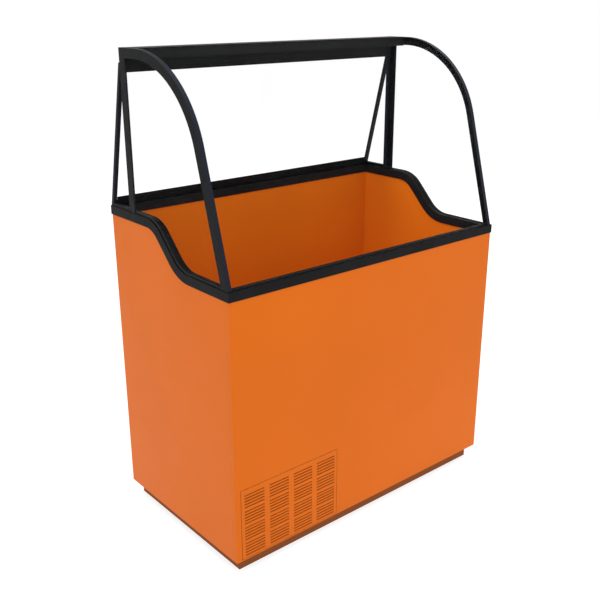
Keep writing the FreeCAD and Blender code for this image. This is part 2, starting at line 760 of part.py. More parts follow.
def header_channel(arches, screws):
    """Unequal channel across the top: a short front lip and a deep rear lip."""
    end = HX - ANGLE_T - GLASS_SIDE - FIT
    top = box(-end, end, HEADER_Y0, HEADER_Y1, TOTAL_H - HEADER_T, TOTAL_H)
    front_z = TOTAL_H - HEADER_FRONT
    rear_z = TOTAL_H - HEADER_REAR
    front = box(-end, end, HEADER_Y0, HEADER_Y0 + HEADER_T, front_z, TOTAL_H)
    long_end = HX - ANGLE_T - FIT
    rear = box(-long_end, long_end, HEADER_Y1 - HEADER_T, HEADER_Y1, rear_z, TOTAL_H)
    return fuse(top, front, rear).cut(arches).cut(screws)


def lamp_tray(inset, z0, z1):
    """Block inside the lamp's outline, inset on its four upright faces."""
    return box(-LAMP_X + inset, LAMP_X - inset, LAMP_Y0 + inset, LAMP_Y1 - inset, z0, z1)


def lamp_housing():
    top = TOTAL_H - HEADER_T
    shell = lamp_tray(0, top - LAMP_H, top)
    return shell.cut(lamp_tray(LAMP_WALL, top - LAMP_H - 1, top - LAMP_WALL))


def lamp_diffuser():
    """Shallow tray that closes the lamp from below."""
    z0 = TOTAL_H - HEADER_T - LAMP_H - DIFFUSER_DROP
    inset = LAMP_WALL + DIFFUSER_GAP
    tray = lamp_tray(inset, z0, z0 + DIFFUSER_H)
    tray = tray.makeFillet(DIFFUSER_R, [e for e in tray.Edges if e.BoundBox.ZMax < z0 + 0.1])
    return tray.cut(lamp_tray(inset + DIFFUSER_WALL, z0 + DIFFUSER_FLOOR, TOTAL_H))


# ---------------------------------------------------------------- glazing
def front_glass():
    side = HX - ANGLE_T - FIT
    foot = LOW_TOP + SEAL_T
    end = HEADER_Y0 - FIT
    return arch_band(ANGLE_T, ANGLE_T + GLASS_FRONT, foot, end, -side, side)


def side_glass():
    """Right-hand pane: bounded by the arch, the S-shaped rim and the post."""
    x1 = HX - ANGLE_T - FIT / 2
    x0 = x1 - GLASS_SIDE
    inset = ANGLE_T + GLASS_FRONT + 1
    foot = LOW_TOP + SEAL_T
    rear_y = HEADER_Y1 - HEADER_T - FIT
    top = arch_edges(inset, foot, rear_y)
    bottom = crest_edges(-SEAL_T, arch_foot_y(inset, foot), rear_y)
    rear = line(top[-1].Vertexes[-1].Point, yz(rear_y, HIGH_TOP + SEAL_T))
    return prism(top + bottom + [rear], x0, x1)


def glass_seals():
    front_y = arch_foot_y(ANGLE_T, LOW_TOP + SEAL_T) + 0.1
    side = HX - ANGLE_T - FIT
    front = box(-side, side, front_y, front_y + SEAL_FRONT, LOW_TOP, LOW_TOP + SEAL_T)
    y0 = front_y + SEAL_FRONT + FIT
    y1 = HEADER_Y1 - HEADER_T - FIT
    x1 = HX - ANGLE_T - FIT / 2
    right = crest_band(-SEAL_T, 0, y0, y1, x1 - SEAL_SIDE, x1)
    return Part.makeCompound([front, right, mirrored(right)])


# ---------------------------------------------------------------- sliding rear doors
def door_track_bottom():
    """Double groove on the rear rim."""
    front = -GROOVE_OUT - TRACK_RIB - TRACK_FRONT_LIP
    rear = GROOVE_OUT + TRACK_RIB
    strips = [
        (front, rear, TRACK_FLOOR),
        (front, -GROOVE_OUT, TRACK_FRONT_H),
        (-GROOVE_IN, GROOVE_IN, TRACK_RIB_H),
        (GROOVE_OUT, rear, TRACK_RIB_H),
    ]
    x = TRACK_BOTTOM_X
    return fuse(*[raked_slab(a, b, HIGH_TOP, HIGH_TOP + height, -x, x) for a, b, height in strips])


def door_track_top():
    """Double groove behind the header's deep lip."""
    x = TRACK_TOP_X
    z0 = TRACK_TOP_Z0
    z1 = TRACK_TOP_Z1
    rear = GROOVE_OUT + TRACK_RIB
    outline = [(HEADER_Y1, z0), (rake_y(z0, rear), z0), (rake_y(z1, rear), z1), (HEADER_Y1, z1)]
    block = polygon(outline, -x, x)
    grooves = []
    for inner, outer in ((-GROOVE_OUT, -GROOVE_IN), (GROOVE_IN, GROOVE_OUT)):
        grooves.append(raked_slab(inner, outer, z0 - 1, z1 - TRACK_FLOOR, -x - 1, x + 1))
    return block.cut(grooves)


def door(side):
    """Clear sliding door with a finger hole; side is -1 for the left one, in the front groove."""
    inner, outer = sorted((side * DOOR_GAP / 2, side * DOOR_OUT))
    x0, x1 = sorted((side * DOOR_X, -side * DOOR_LAP))
    pane = raked_slab(inner, outer, DOOR_Z0, DOOR_Z1, x0, x1)
    across = Vector(0, COS_RAKE, math.sin(math.radians(RAKE)))
    middle = Vector(side * (DOOR_X - FINGER_HOLE_INSET), rake_y(FINGER_HOLE_Z, 0), FINGER_HOLE_Z)
    hole = cylinder(FINGER_HOLE_D / 2, middle - across * 20, across, 40)
    return pane.cut(hole)


# ---------------------------------------------------------------- machine bay
def compressor_cylinder(radius, z0, z1):
    """Cylinder on the compressor's axis."""
    return cylinder(radius, Vector(COMPRESSOR_X, COMPRESSOR_Y, z0), Z_AXIS, z1 - z0)


def compressor_shell():
    """Sealed steel can on a foot plate, hollow inside."""
    z0 = COMPRESSOR_Z0
    z1 = COMPRESSOR_Z0 + COMPRESSOR_H
    wall = COMPRESSOR_WALL

    def can(inset):
        shape = compressor_cylinder(COMPRESSOR_R - inset, z0 + wall + inset, z1 - inset)
        rims = [e for e in shape.Edges if e.BoundBox.ZLength < 1e-6]
        return shape.makeFillet(COMPRESSOR_DOME_R - inset, rims)

    seam_z = z0 + COMPRESSOR_SEAM_Z
    seam = compressor_cylinder(COMPRESSOR_R + wall, seam_z, seam_z + COMPRESSOR_SEAM_H)
    plate = box(-FOOT_PLATE_X, FOOT_PLATE_X, -FOOT_PLATE_Y, FOOT_PLATE_Y, z0, z0 + wall)
    plate = plate.makeFillet(FOOT_PLATE_R, upright_edges(plate))
    plate.translate(Vector(COMPRESSOR_X, COMPRESSOR_Y, 0))
    holes = [cylinder(FOOT_NECK_R, Vector(p.x, p.y, z0 - 1), Z_AXIS, wall + 2) for p in foot_points()]
    return fuse(can(0), seam, plate).cut(can(wall)).cut(holes)


def foot_points():
    places = [(-1, -1), (-1, 1), (1, -1), (1, 1)]
    return [Vector(COMPRESSOR_X + a * FOOT_X, COMPRESSOR_Y + b * FOOT_Y, PAN_TOP) for a, b in places]


def compressor_pump():
    """Motor and crankcase that hang inside the can."""
    z0 = COMPRESSOR_Z0
    stator = compressor_cylinder(56, z0 + 22, z0 + 84)
    crankcase = compressor_cylinder(46, z0 + 84, z0 + 122)
    head = box(20, 66, -24, 24, z0 + 88, z0 + 122)
    head.translate(Vector(COMPRESSOR_X, COMPRESSOR_Y, 0))
    shaft = compressor_cylinder(9, z0 + 12, z0 + 140)
    return fuse(stator, crankcase, head, shaft)


def compressor_grommets():
    grommets = []
    for point in foot_points():
        body = cylinder(FOOT_R, point, Z_AXIS, FOOT_H)
        neck = cylinder(FOOT_NECK_R, point, Z_AXIS, FOOT_H + COMPRESSOR_WALL)
        lip_base = point + Vector(0, 0, FOOT_H + COMPRESSOR_WALL)
        lip = cylinder(FOOT_LIP_R, lip_base, Z_AXIS, FOOT_LIP_H)
        grommets.append(fuse(body, neck, lip))
    return Part.makeCompound(grommets)


def electrical_box():
    """Relay and terminal cover on the compressor's flank."""
    x0 = COMPRESSOR_X + COMPRESSOR_R - 14
    cover = box(x0, x0 + 50, COMPRESSOR_Y - 30, COMPRESSOR_Y + 30, 92, 150)
    cover = cover.makeFillet(5, upright_edges(cover))
    return cover.cut(compressor_cylinder(COMPRESSOR_R, 60, 260))


def condenser_level(row):
    return CONDENSER_Z1 - CONDENSER_TOP - row * CONDENSER_PITCH


def condenser_coil():
    """Fins on one serpentine tube, whose two ends come out on the right."""
    y = (CONDENSER_Y0 + CONDENSER_Y1) / 2
    bend = CONDENSER_PITCH / 2
    mouth_x = CONDENSER_X1 + CONDENSER_STUB
    mouth = Vector(mouth_x, y, condenser_level(0))
    edges = []
    start = mouth
    for row in range(CONDENSER_ROWS - 1):
        z = condenser_level(row)
        end_x, out = (CONDENSER_X0 - 3, -bend) if row % 2 == 0 else (CONDENSER_X1 + 3, bend)
        end = Vector(end_x, y, z)
        below = Vector(end_x, y, z - CONDENSER_PITCH)
        edges.append(line(start, end))
        edges.append(arc(end, Vector(end_x + out, y, z - bend), below))
        start = below
    edges.append(line(start, Vector(mouth_x, y, condenser_level(CONDENSER_ROWS - 1))))
    ring = Part.Wire(Part.Circle(mouth, X_AXIS, CONDENSER_TUBE_R).toShape())
    tube = Part.Wire(edges).makePipeShell([ring], True, True)
    fins = []
    count = int((CONDENSER_X1 - CONDENSER_X0) / FIN_PITCH) + 1
    for index in range(count):
        x = CONDENSER_X0 + index * FIN_PITCH
        thick = END_FIN_T if index in (0, count - 1) else FIN_T
        fins.append(box(x, x + thick, CONDENSER_Y0, CONDENSER_Y1, CONDENSER_Z0, CONDENSER_Z1))
    return tube.fuse(fins)


def fan_shroud():
    """Sheet behind the condenser with a round duct and the arms that hold the motor."""
    centre = Vector(FAN_X, 0, FAN_Z)
    t = SHROUD_T
    y0 = CONDENSER_Y1 + 1
    y1 = y0 + SHROUD_DEPTH
    x0 = CONDENSER_X0
    x1 = CONDENSER_X1 + 1
    frame = box(x0, x1, y0, y1, CONDENSER_Z0, CONDENSER_Z1)
    room = box(x0 + t, x1 - t, y0 - 1, y1 - t, CONDENSER_Z0 + t, CONDENSER_Z1 - t)
    duct = cylinder(FAN_DUCT_R + t, centre + Vector(0, y1 - t, 0), Y_AXIS, DUCT_Y - y1 + t)
    bore = cylinder(FAN_DUCT_R, centre + Vector(0, y0 - 2, 0), Y_AXIS, 60)
    arms = []
    for turn in (45, 135, 225, 315):
        arm = centred(FAN_X, FAN_Z, FAN_DUCT_R + 1, ARM_W / 2, DUCT_Y - 1, DUCT_Y - 1 + ARM_T)
        arm = arm.common(box(FAN_X + MOTOR_PLATE_R / 2, 0, -HY, HY, 0, TOTAL_H))
        arm.rotate(centre, Y_AXIS, turn)
        arms.append(arm)
    plate = cylinder(MOTOR_PLATE_R, centre + Vector(0, DUCT_Y - 1, 0), Y_AXIS, ARM_T)
    hole = cylinder(SHAFT_R + 5, centre + Vector(0, DUCT_Y - 2, 0), Y_AXIS, 2 * ARM_T)
    shell = fuse(frame.cut(room), duct).cut(bore)
    return fuse(shell, plate, *arms).cut(hole)


def fan_motor():
    centre = Vector(FAN_X, 0, FAN_Z)
    can = cylinder(MOTOR_R, centre + Vector(0, MOTOR_Y0, 0), Y_AXIS, MOTOR_L)
    rims = [e for e in can.Edges if e.BoundBox.YLength < 1e-6 and e.BoundBox.YMin > MOTOR_Y0 + 1]
    can = can.makeFillet(8, rims)
    bore = cylinder(SHAFT_R + 0.1, centre + Vector(0, MOTOR_Y0 - 1, 0), Y_AXIS, SHAFT_ENTRY + 2)
    return can.cut(bore)


def fan_blade():
    """Pitched blades on a hub, with the shaft that enters the motor."""
    centre = Vector(FAN_X, 0, FAN_Z)
    hub_y = FAN_Y - HUB_H / 2
    hub = cylinder(HUB_R, centre + Vector(0, hub_y, 0), Y_AXIS, HUB_H)
    hub = hub.makeFillet(4, [e for e in hub.Edges if e.BoundBox.YMax < hub_y + 1])
    shaft = cylinder(SHAFT_R, centre + Vector(0, FAN_Y, 0), Y_AXIS, MOTOR_Y0 + SHAFT_ENTRY - FAN_Y)
    sweep = cylinder(FAN_R, centre + Vector(0, FAN_Y - 20, 0), Y_AXIS, 40)
    thick = FAN_BLADE_T / 2
    chord = FAN_CHORD / 2
    blades = []
    for index in range(FAN_BLADES):
        x0 = FAN_X + HUB_R - 5
        blade = box(x0, FAN_X + FAN_R + 5, FAN_Y - thick, FAN_Y + thick, FAN_Z - chord, FAN_Z + chord)
        blade.rotate(Vector(FAN_X, FAN_Y, FAN_Z), X_AXIS, FAN_PITCH)
        blade.rotate(centre, Y_AXIS, index * 360 / FAN_BLADES)
        blades.append(blade.common(sweep))
    return fuse(hub, shaft, *blades)


def filter_drier():
    start = Vector(LINE_X, DRIER_Y0, condenser_level(CONDENSER_ROWS - 1))
    length = DRIER_Y1 - DRIER_Y0
    neck_r = TUBE_D / 2 + 1
    shoulder = Vector(0, DRIER_CONE, 0)
    barrel = cylinder(DRIER_R, start + shoulder, Y_AXIS, length - 2 * DRIER_CONE)
    nose = Part.makeCone(neck_r, DRIER_R, DRIER_CONE, start, Y_AXIS)
    tail = Part.makeCone(DRIER_R, neck_r, DRIER_CONE, start + Vector(0, length, 0) - shoulder, Y_AXIS)
    return fuse(barrel, nose, tail)


def refrigerant_lines():
    """Discharge, liquid, feed and suction lines between the parts of the circuit."""
    radius = TUBE_D / 2
    condenser_y = (CONDENSER_Y0 + CONDENSER_Y1) / 2
    condenser_x = CONDENSER_X1 + CONDENSER_STUB
    top_z = condenser_level(0)
    low_z = condenser_level(CONDENSER_ROWS - 1)
    feed_z = FEED_Z + COIL / 2
    suction_z = RETURN_Z + COIL / 2
    diagonal = COMPRESSOR_R * math.sqrt(0.5)
    coil_y = TUB_Y + LINER + 2.5 * COIL
    out = Vector(COMPRESSOR_X + diagonal, COMPRESSOR_Y - diagonal, PORT_Z)
    back = Vector(COMPRESSOR_X + diagonal, COMPRESSOR_Y + diagonal, PORT_Z)
    suction_x = LINE_X - LINE_STEP
    discharge = [
        out,
        out + Vector(PORT_RUN, -PORT_RUN, 0),
        Vector(LINE_X, out.y - PORT_RUN, PORT_Z),
        Vector(LINE_X, out.y - PORT_RUN, top_z),
        Vector(LINE_X, condenser_y, top_z),
        Vector(condenser_x, condenser_y, top_z),
    ]
    liquid = [
        Vector(condenser_x, condenser_y, low_z),
        Vector(LINE_X, condenser_y, low_z),
        Vector(LINE_X, DRIER_Y0, low_z),
    ]
    feed = [
        Vector(LINE_X, DRIER_Y1, low_z),
        Vector(LINE_X, LINE_RISE_Y, low_z),
        Vector(LINE_X, LINE_RISE_Y, feed_z),
        Vector(LINE_X, coil_y, feed_z),
        Vector(STUB_X, coil_y, feed_z),
    ]
    suction = [
        back,
        back + Vector(PORT_RUN, PORT_RUN, 0),
        Vector(suction_x, back.y + PORT_RUN, PORT_Z),
        Vector(suction_x, back.y + PORT_RUN, suction_z),
        Vector(suction_x, coil_y, suction_z),
        Vector(STUB_X, coil_y, suction_z),
    ]
    tubes = [
        bent_tube(discharge, radius, LINE_BEND),
        bent_tube(liquid, radius, LINE_BEND),
        bent_tube(feed, radius, FEED_BEND),
        bent_tube(suction, radius, LINE_BEND),
    ]
    can = compressor_cylinder(COMPRESSOR_R, 60, 230)
    return Part.makeCompound([tube.cut(can) for tube in tubes])


# ---------------------------------------------------------------- rear controls
def control_panel():
    """Recessed tray behind the rear cover that carries the controls."""
    face_y = HY - SKIN
    x0, x1 = POCKET_X0, POCKET_X1
    z0, z1 = POCKET_Z0, POCKET_Z1
    lip = POCKET_LIP
    flange = box(x0 - lip, x1 + lip, face_y - SKIN, face_y, z0 - lip, z1 + lip)
    tray = box(x0, x1, POCKET_Y - SKIN, face_y, z0, z1)
    room = box(x0 + SKIN, x1 - SKIN, POCKET_Y, face_y + 1, z0 + SKIN, z1 - SKIN)
    deep = POCKET_Y - 5
    holes = [cylinder(SPINDLE_R + 0.6, Vector(KNOB_X, deep, KNOB_Z), Y_AXIS, 10)]
    for x in SWITCH_X:
        holes.append(centred(x, SWITCH_Z, SWITCH_HALF_W, SWITCH_HALF_H, deep, deep + 10))
    holes.append(centred(INLET_X, INLET_Z, INLET_HALF_W, INLET_HALF_H, deep, deep + 10))
    return fuse(flange, tray).cut(room).cut(holes)


def thermostat_body():
    rear = POCKET_Y - SKIN
    body = box(KNOB_X - 20, KNOB_X + 20, rear - 28, rear, KNOB_Z - 22, KNOB_Z + 16)
    bore = cylinder(SPINDLE_R + 0.4, Vector(KNOB_X, rear - 14, KNOB_Z), Y_AXIS, 20)
    return body.cut(bore)


def thermostat_knob():
    """Fluted knob with a pointer ridge and its spindle."""
    base_y = POCKET_Y + KNOB_GAP
    top_y = base_y + KNOB_H
    axis_start = Vector(KNOB_X, base_y, KNOB_Z)
    skirt = cylinder(KNOB_D / 2, axis_start, Y_AXIS, KNOB_SKIRT)
    grip = cylinder(KNOB_D / 2 - KNOB_SKIRT, axis_start, Y_AXIS, KNOB_H)
    flutes = []
    for index in range(FLUTES):
        angle = 2 * math.pi * (index + 0.5) / FLUTES
        across = Vector(FLUTE_PITCH_R * math.cos(angle), KNOB_SKIRT, FLUTE_PITCH_R * math.sin(angle))
        flutes.append(cylinder(FLUTE_R, axis_start + across, Y_AXIS, KNOB_H))
    pointer = box(KNOB_X - 1.5, KNOB_X + 1.5, top_y - 1, top_y + 1.5, KNOB_Z, KNOB_Z + 13)
    spindle = cylinder(SPINDLE_R, Vector(KNOB_X, base_y - 12, KNOB_Z), Y_AXIS, 14)
    return fuse(fuse(skirt, grip).cut(flutes), pointer, spindle)


def socket(x, z, half_w, half_h, depth, lip, wall, room_depth):
    """Rectangular snap-in body with a lip on the back plate and an open room behind the lip."""
    frame = centred(x, z, half_w + lip, half_h + lip, POCKET_Y, POCKET_Y + SOCKET_LIP_T)
    body = centred(x, z, half_w, half_h, POCKET_Y - depth, POCKET_Y)
    room = centred(x, z, half_w - wall, half_h - wall, POCKET_Y - room_depth, POCKET_Y + 3)
    return fuse(frame, body).cut(room)


def switch_housings():
    """Two identical snap-in switch bodies."""
    size = (SWITCH_HALF_W, SWITCH_HALF_H, SWITCH_DEPTH, SWITCH_LIP, SWITCH_WALL, SWITCH_ROOM)
    return Part.makeCompound([socket(x, SWITCH_Z, *size) for x in SWITCH_X])


def rocker(x):
    """Rocker shown switched off, turned about its pivot."""
    profile = [
        (PIVOT_Y - 2, SWITCH_Z - 7.4),
        (PIVOT_Y + 8.5, SWITCH_Z - 7.0),
        (PIVOT_Y + 6.5, SWITCH_Z),
        (PIVOT_Y + 8.5, SWITCH_Z + 7.0),
        (PIVOT_Y - 2, SWITCH_Z + 7.4),
    ]
    body = polygon(profile, x - ROCKER_HALF_W, x + ROCKER_HALF_W)
    body.rotate(Vector(x, PIVOT_Y, SWITCH_Z), X_AXIS, -ROCKER_ANGLE)
    return body


def power_inlet():
    """Appliance inlet socket with three flat pins."""
    size = (INLET_HALF_W, INLET_HALF_H, INLET_DEPTH, INLET_LIP, INLET_WALL, INLET_ROOM)
    shell = socket(INLET_X, INLET_Z, *size)
    pins = []
    for dx, dz in ((-7, -2), (7, -2), (0, 3)):
        pins.append(centred(INLET_X + dx, INLET_Z + dz, 1, 2, POCKET_Y - 17, POCKET_Y - 2))
    return fuse(shell, *pins)


# ---------------------------------------------------------------- drain
def drain_cylinder(radius, z0, z1):
    """Cylinder on the drain's axis."""
    return cylinder(radius, Vector(DRAIN_X, DRAIN_Y, z0), Z_AXIS, z1 - z0)


def drain_tube():
    """Flanged spout from the tub's floor down through the foam and the base pan."""
    top = FLOOR_Z + DRAIN_FLANGE_T
    flange = drain_cylinder(DRAIN_FLANGE_R, FLOOR_Z, top)
    spout = drain_cylinder(DRAIN_BORE / 2 + DRAIN_WALL, DRAIN_Z0, top)
    return fuse(flange, spout).cut(drain_cylinder(DRAIN_BORE / 2, 0, top + 1))


def drain_plug():
    """Rubber stopper with a flat head and a pull ring."""
    seat = FLOOR_Z + DRAIN_FLANGE_T + 0.3
    stem = drain_cylinder(DRAIN_BORE / 2 - 0.3, seat - PLUG_STEM, seat)
    head = drain_cylinder(PLUG_HEAD_R, seat, seat + PLUG_HEAD_T)
    ring_z = seat + PLUG_HEAD_T + PLUG_RING_R - 1
    ring = Part.makeTorus(PLUG_RING_R, PLUG_RING_T, Vector(DRAIN_X, DRAIN_Y, ring_z), X_AXIS)
    return fuse(stem, head, ring)


# ---------------------------------------------------------------- fasteners
def screw(x, y, z):
    """Pan-head screw driven forward from a rear face at y."""
    head = cylinder(SCREW_HEAD_D / 2, Vector(x, y, z), Y_AXIS, SCREW_HEAD_H)
    head = head.makeFillet(0.8, [e for e in head.Edges if e.BoundBox.YMin > y + 1])
    shank = cylinder(SCREW_D / 2, Vector(x, y - SCREW_L, z), Y_AXIS, SCREW_L)
    slot = centred(x, z, SCREW_RECESS, SCREW_RECESS_T, y + 1, y + 3)
    cross = centred(x, z, SCREW_RECESS_T, SCREW_RECESS, y + 1, y + 3)
    return fuse(head, shank).cut([slot, cross])


def screw_places():
    """Head seat of every screw: the rear cover's, the side panels' and the posts'."""
    places = []
    inset = COVER_SCREW_INSET
    for x in (COVER_X0 + inset, (COVER_X0 + COVER_X1) / 2, COVER_X1 - inset):
        places.append((x, HY, COVER_Z0 + inset))
        places.append((x, HY, COVER_Z1 - inset))
    for side in (-1, 1):
        for z in POST_SCREWS_Z:
            places.append((side * POST_SCREW_X, POST_Y, z))
        for z in SIDE_SCREWS_Z:
            places.append((side * (HX - SIDE_SCREW_INSET), HY, z))
    return places


def screw_hole(x, y, z):
    return cylinder(SCREW_D / 2, Vector(x, y - SCREW_L, z), Y_AXIS, SCREW_L)


# ---------------------------------------------------------------- assembly
def build():
    nodes = {}
    screws = Part.makeCompound([screw(*place) for place in screw_places()])
    holes = Part.makeCompound([screw_hole(*place) for place in screw_places()])
    drain_hole = drain_cylinder(DRAIN_BORE / 2 + DRAIN_WALL, 0, FLOOR_Z + 1)
    shell = folded_shell()
    coil = evaporator_coil()
    tank = tank_walls()
    tank["tank_floor"] = tank["tank_floor"].cut(drain_hole)
    lining = machine_bay_lining(coil)
    foot_studs = [cylinder(STUD_R, point - Vector(0, 0, 5), Z_AXIS, 8) for point in foot_points()]

    nodes["plinth_rails"] = plinth_rails()
    nodes["base_pan"] = base_pan(drain_hole, foot_studs)
    nodes["front_panel"] = front_panel(shell)
    right_side = side_panel(shell)
    nodes["side_panel_right"] = right_side.cut(holes)
    nodes["side_panel_left"] = mirrored(right_side).cut(holes)
    nodes["rear_panel"] = rear_panel(holes)
    nodes["rear_cover"] = rear_cover(holes)
    nodes["front_grille"] = front_grille()
    nodes.update(tank)
    nodes["evaporator_coil"] = coil
    nodes["machine_bay_lining"] = lining
    skins = [nodes[n] for n in ("base_pan", "front_panel", "side_panel_right", "side_panel_left")]
    inner = [coil, lining, drain_hole, holes]
    nodes["foam_insulation"] = foam_insulation(skins + inner + list(tank.values()))

    rim_right = rim_side()
    nodes["rim_right"] = rim_right
    nodes["rim_left"] = mirrored(rim_right)
    nodes["rim_front"] = rim_end(LOW_TOP, -1)
    nodes["rim_rear"] = rim_end(HIGH_TOP, 1)

    right_arch = arch()
    left_arch = mirrored(right_arch)
    nodes["arch_right"] = right_arch
    nodes["arch_left"] = left_arch
    nodes["post_right"] = post(holes)
    nodes["post_left"] = mirrored(nodes["post_right"])
    nodes["brace_right"] = brace()
    nodes["brace_left"] = mirrored(nodes["brace_right"])
    nodes["side_sills"] = Part.makeCompound([side_sill(), mirrored(side_sill())])
    nodes["header_channel"] = header_channel([right_arch, left_arch], holes)
    nodes["lamp_housing"] = lamp_housing()
    nodes["lamp_diffuser"] = lamp_diffuser()

    nodes["front_glass"] = front_glass()
    nodes["side_glass_right"] = side_glass()
    nodes["side_glass_left"] = mirrored(nodes["side_glass_right"])
    nodes["glass_seals"] = glass_seals()
    nodes["door_track_bottom"] = door_track_bottom()
    nodes["door_track_top"] = door_track_top()
    nodes["door_left"] = door(-1)
    nodes["door_right"] = door(1)

    nodes["compressor_shell"] = compressor_shell()
    nodes["compressor_pump"] = compressor_pump()
    nodes["compressor_grommets"] = compressor_grommets()
    nodes["electrical_box"] = electrical_box()
    nodes["condenser_coil"] = condenser_coil()
    nodes["fan_shroud"] = fan_shroud()
    nodes["fan_motor"] = fan_motor()
    nodes["fan_blade"] = fan_blade()
    nodes["filter_drier"] = filter_drier()
    nodes["refrigerant_lines"] = refrigerant_lines()

    nodes["control_panel"] = control_panel()
    nodes["thermostat_body"] = thermostat_body()
    nodes["thermostat_knob"] = thermostat_knob()
    nodes["switch_housings"] = switch_housings()
    nodes["power_rocker"] = rocker(SWITCH_X[0])
    nodes["lamp_rocker"] = rocker(SWITCH_X[1])
    nodes["power_inlet"] = power_inlet()
    nodes["drain_tube"] = drain_tube()
    nodes["drain_plug"] = drain_plug()
    nodes["panel_screws"] = screws
    return nodes


def main():
    os.makedirs("parts", exist_ok=True)
    for name, shape in build().items():
        shape.exportStep("parts/" + name + ".step")
        print(name, len(shape.Solids), "solids", round(shape.Volume / 1000, 1), "cm3", shape.isValid())


main()
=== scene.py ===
import math

import bmesh
import bpy
from mathutils import Matrix, Vector


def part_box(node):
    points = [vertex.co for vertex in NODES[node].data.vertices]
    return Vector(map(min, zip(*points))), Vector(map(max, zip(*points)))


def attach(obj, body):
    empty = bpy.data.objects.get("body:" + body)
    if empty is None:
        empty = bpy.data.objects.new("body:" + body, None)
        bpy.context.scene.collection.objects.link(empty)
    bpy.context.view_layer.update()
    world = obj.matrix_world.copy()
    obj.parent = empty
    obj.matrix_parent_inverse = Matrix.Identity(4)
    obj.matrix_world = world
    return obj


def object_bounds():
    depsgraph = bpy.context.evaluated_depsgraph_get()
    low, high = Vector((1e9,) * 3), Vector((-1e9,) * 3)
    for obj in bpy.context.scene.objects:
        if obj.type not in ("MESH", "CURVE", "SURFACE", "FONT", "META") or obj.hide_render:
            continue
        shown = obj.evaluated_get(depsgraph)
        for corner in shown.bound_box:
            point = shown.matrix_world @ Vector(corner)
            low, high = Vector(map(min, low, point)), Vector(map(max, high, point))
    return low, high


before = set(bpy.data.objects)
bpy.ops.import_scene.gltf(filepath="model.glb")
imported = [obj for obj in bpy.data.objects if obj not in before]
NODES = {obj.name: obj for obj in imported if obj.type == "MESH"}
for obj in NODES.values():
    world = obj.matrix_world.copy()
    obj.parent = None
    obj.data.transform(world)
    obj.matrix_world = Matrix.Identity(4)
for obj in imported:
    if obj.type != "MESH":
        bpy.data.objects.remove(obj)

CAD_BOX = [list(v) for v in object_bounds()]
LOW, HIGH = (Vector(v) for v in CAD_BOX)
CENTRE = (LOW + HIGH) / 2
SCENE = bpy.context.scene

# ---------------------------------------------------------------- view and light

EYE = Vector((-1.8813, -2.1785, 1.7583))
LOOK_AT = Vector((0.2900, 0.4032, 0.5433))
LENS = 50.2
ROLL = math.radians(-0.1)
WORLD_STRENGTH = 0.60
INSIDE = (0.565, -0.02, 0.82)      # on the tub's right-hand wall
FLOOR_R = 60.0
FLOOR_GREY = 0.45
FLOOR_GLOW = 0.74                  # lifts the floor to the backdrop's white
SOFTBOXES = {                      # place, size, power, spread in degrees, aim
    "soft_left": ((-4.4, -1.2, 3.8), 3.2, 22.0, 180.0, CENTRE),
    "soft_front": ((0.4, -4.6, 3.2), 3.2, 30.0, 180.0, CENTRE),
    "soft_right": ((4.4, 0.6, 3.0), 3.2, 50.0, 180.0, CENTRE),
    "soft_rear": ((-0.6, 4.6, 3.0), 3.2, 50.0, 180.0, CENTRE),
    "soft_top": ((-0.5, -0.3, 4.6), 2.6, 110.0, 180.0, CENTRE),
    "soft_inside": ((-0.75, -0.10, 3.3), 0.9, 1.5, 34.0, INSIDE),
}


def make_camera():
    data = bpy.data.cameras.new("view_camera")
    data.sensor_width = 36.0
    data.lens = LENS
    camera = bpy.data.objects.new("view_camera", data)
    SCENE.collection.objects.link(camera)
    turn = (LOOK_AT - EYE).to_track_quat("-Z", "Y").to_matrix() @ Matrix.Rotation(ROLL, 3, "Z")
    camera.matrix_world = Matrix.Translation(EYE) @ turn.to_4x4()
    SCENE.camera = camera


def make_light():
    world = bpy.data.worlds.new("studio")
    world.use_nodes = True
    tree = world.node_tree
    lighting = tree.nodes["Background"]
    lighting.inputs["Color"].default_value = (1.0, 1.0, 1.0, 1.0)
    lighting.inputs["Strength"].default_value = WORLD_STRENGTH
    backdrop = tree.nodes.new("ShaderNodeBackground")
    backdrop.inputs["Color"].default_value = (1.0, 1.0, 1.0, 1.0)
    backdrop.inputs["Strength"].default_value = 1.0
    seen = tree.nodes.new("ShaderNodeLightPath").outputs["Is Camera Ray"]
    mix = tree.nodes.new("ShaderNodeMixShader")
    tree.links.new(seen, mix.inputs["Fac"])
    tree.links.new(lighting.outputs["Background"], mix.inputs[1])
    tree.links.new(backdrop.outputs["Background"], mix.inputs[2])
    tree.links.new(mix.outputs["Shader"], tree.nodes["World Output"].inputs["Surface"])
    SCENE.world = world
    for name, (place, size, power, spread, aim) in SOFTBOXES.items():
        data = bpy.data.lights.new(name, "AREA")
        data.size = size
        data.energy = power
        data.spread = math.radians(spread)
        light = bpy.data.objects.new(name, data)
        light.location = place
        light.rotation_mode = "QUATERNION"
        light.rotation_quaternion = (Vector(aim) - Vector(place)).to_track_quat("-Z", "Y")
        SCENE.collection.objects.link(light)


def make_floor():
    mesh = bpy.data.meshes.new("studio_floor")
    built = bmesh.new()
    bmesh.ops.create_circle(built, cap_ends=True, segments=96, radius=FLOOR_R)
    built.to_mesh(mesh)
    built.free()
    floor = bpy.data.objects.new("studio_floor", mesh)
    SCENE.collection.objects.link(floor)
    matt = bpy.data.materials.new("studio_floor")
    matt.use_nodes = True
    shader = matt.node_tree.nodes["Principled BSDF"]
    shader.inputs["Base Color"].default_value = (FLOOR_GREY, FLOOR_GREY, FLOOR_GREY, 1.0)
    shader.inputs["Roughness"].default_value = 0.9
    shader.inputs["Specular IOR Level"].default_value = 0.0
    shader.inputs["Emission Color"].default_value = (1.0, 1.0, 1.0, 1.0)
    shader.inputs["Emission Strength"].default_value = FLOOR_GLOW
    mesh.materials.append(matt)


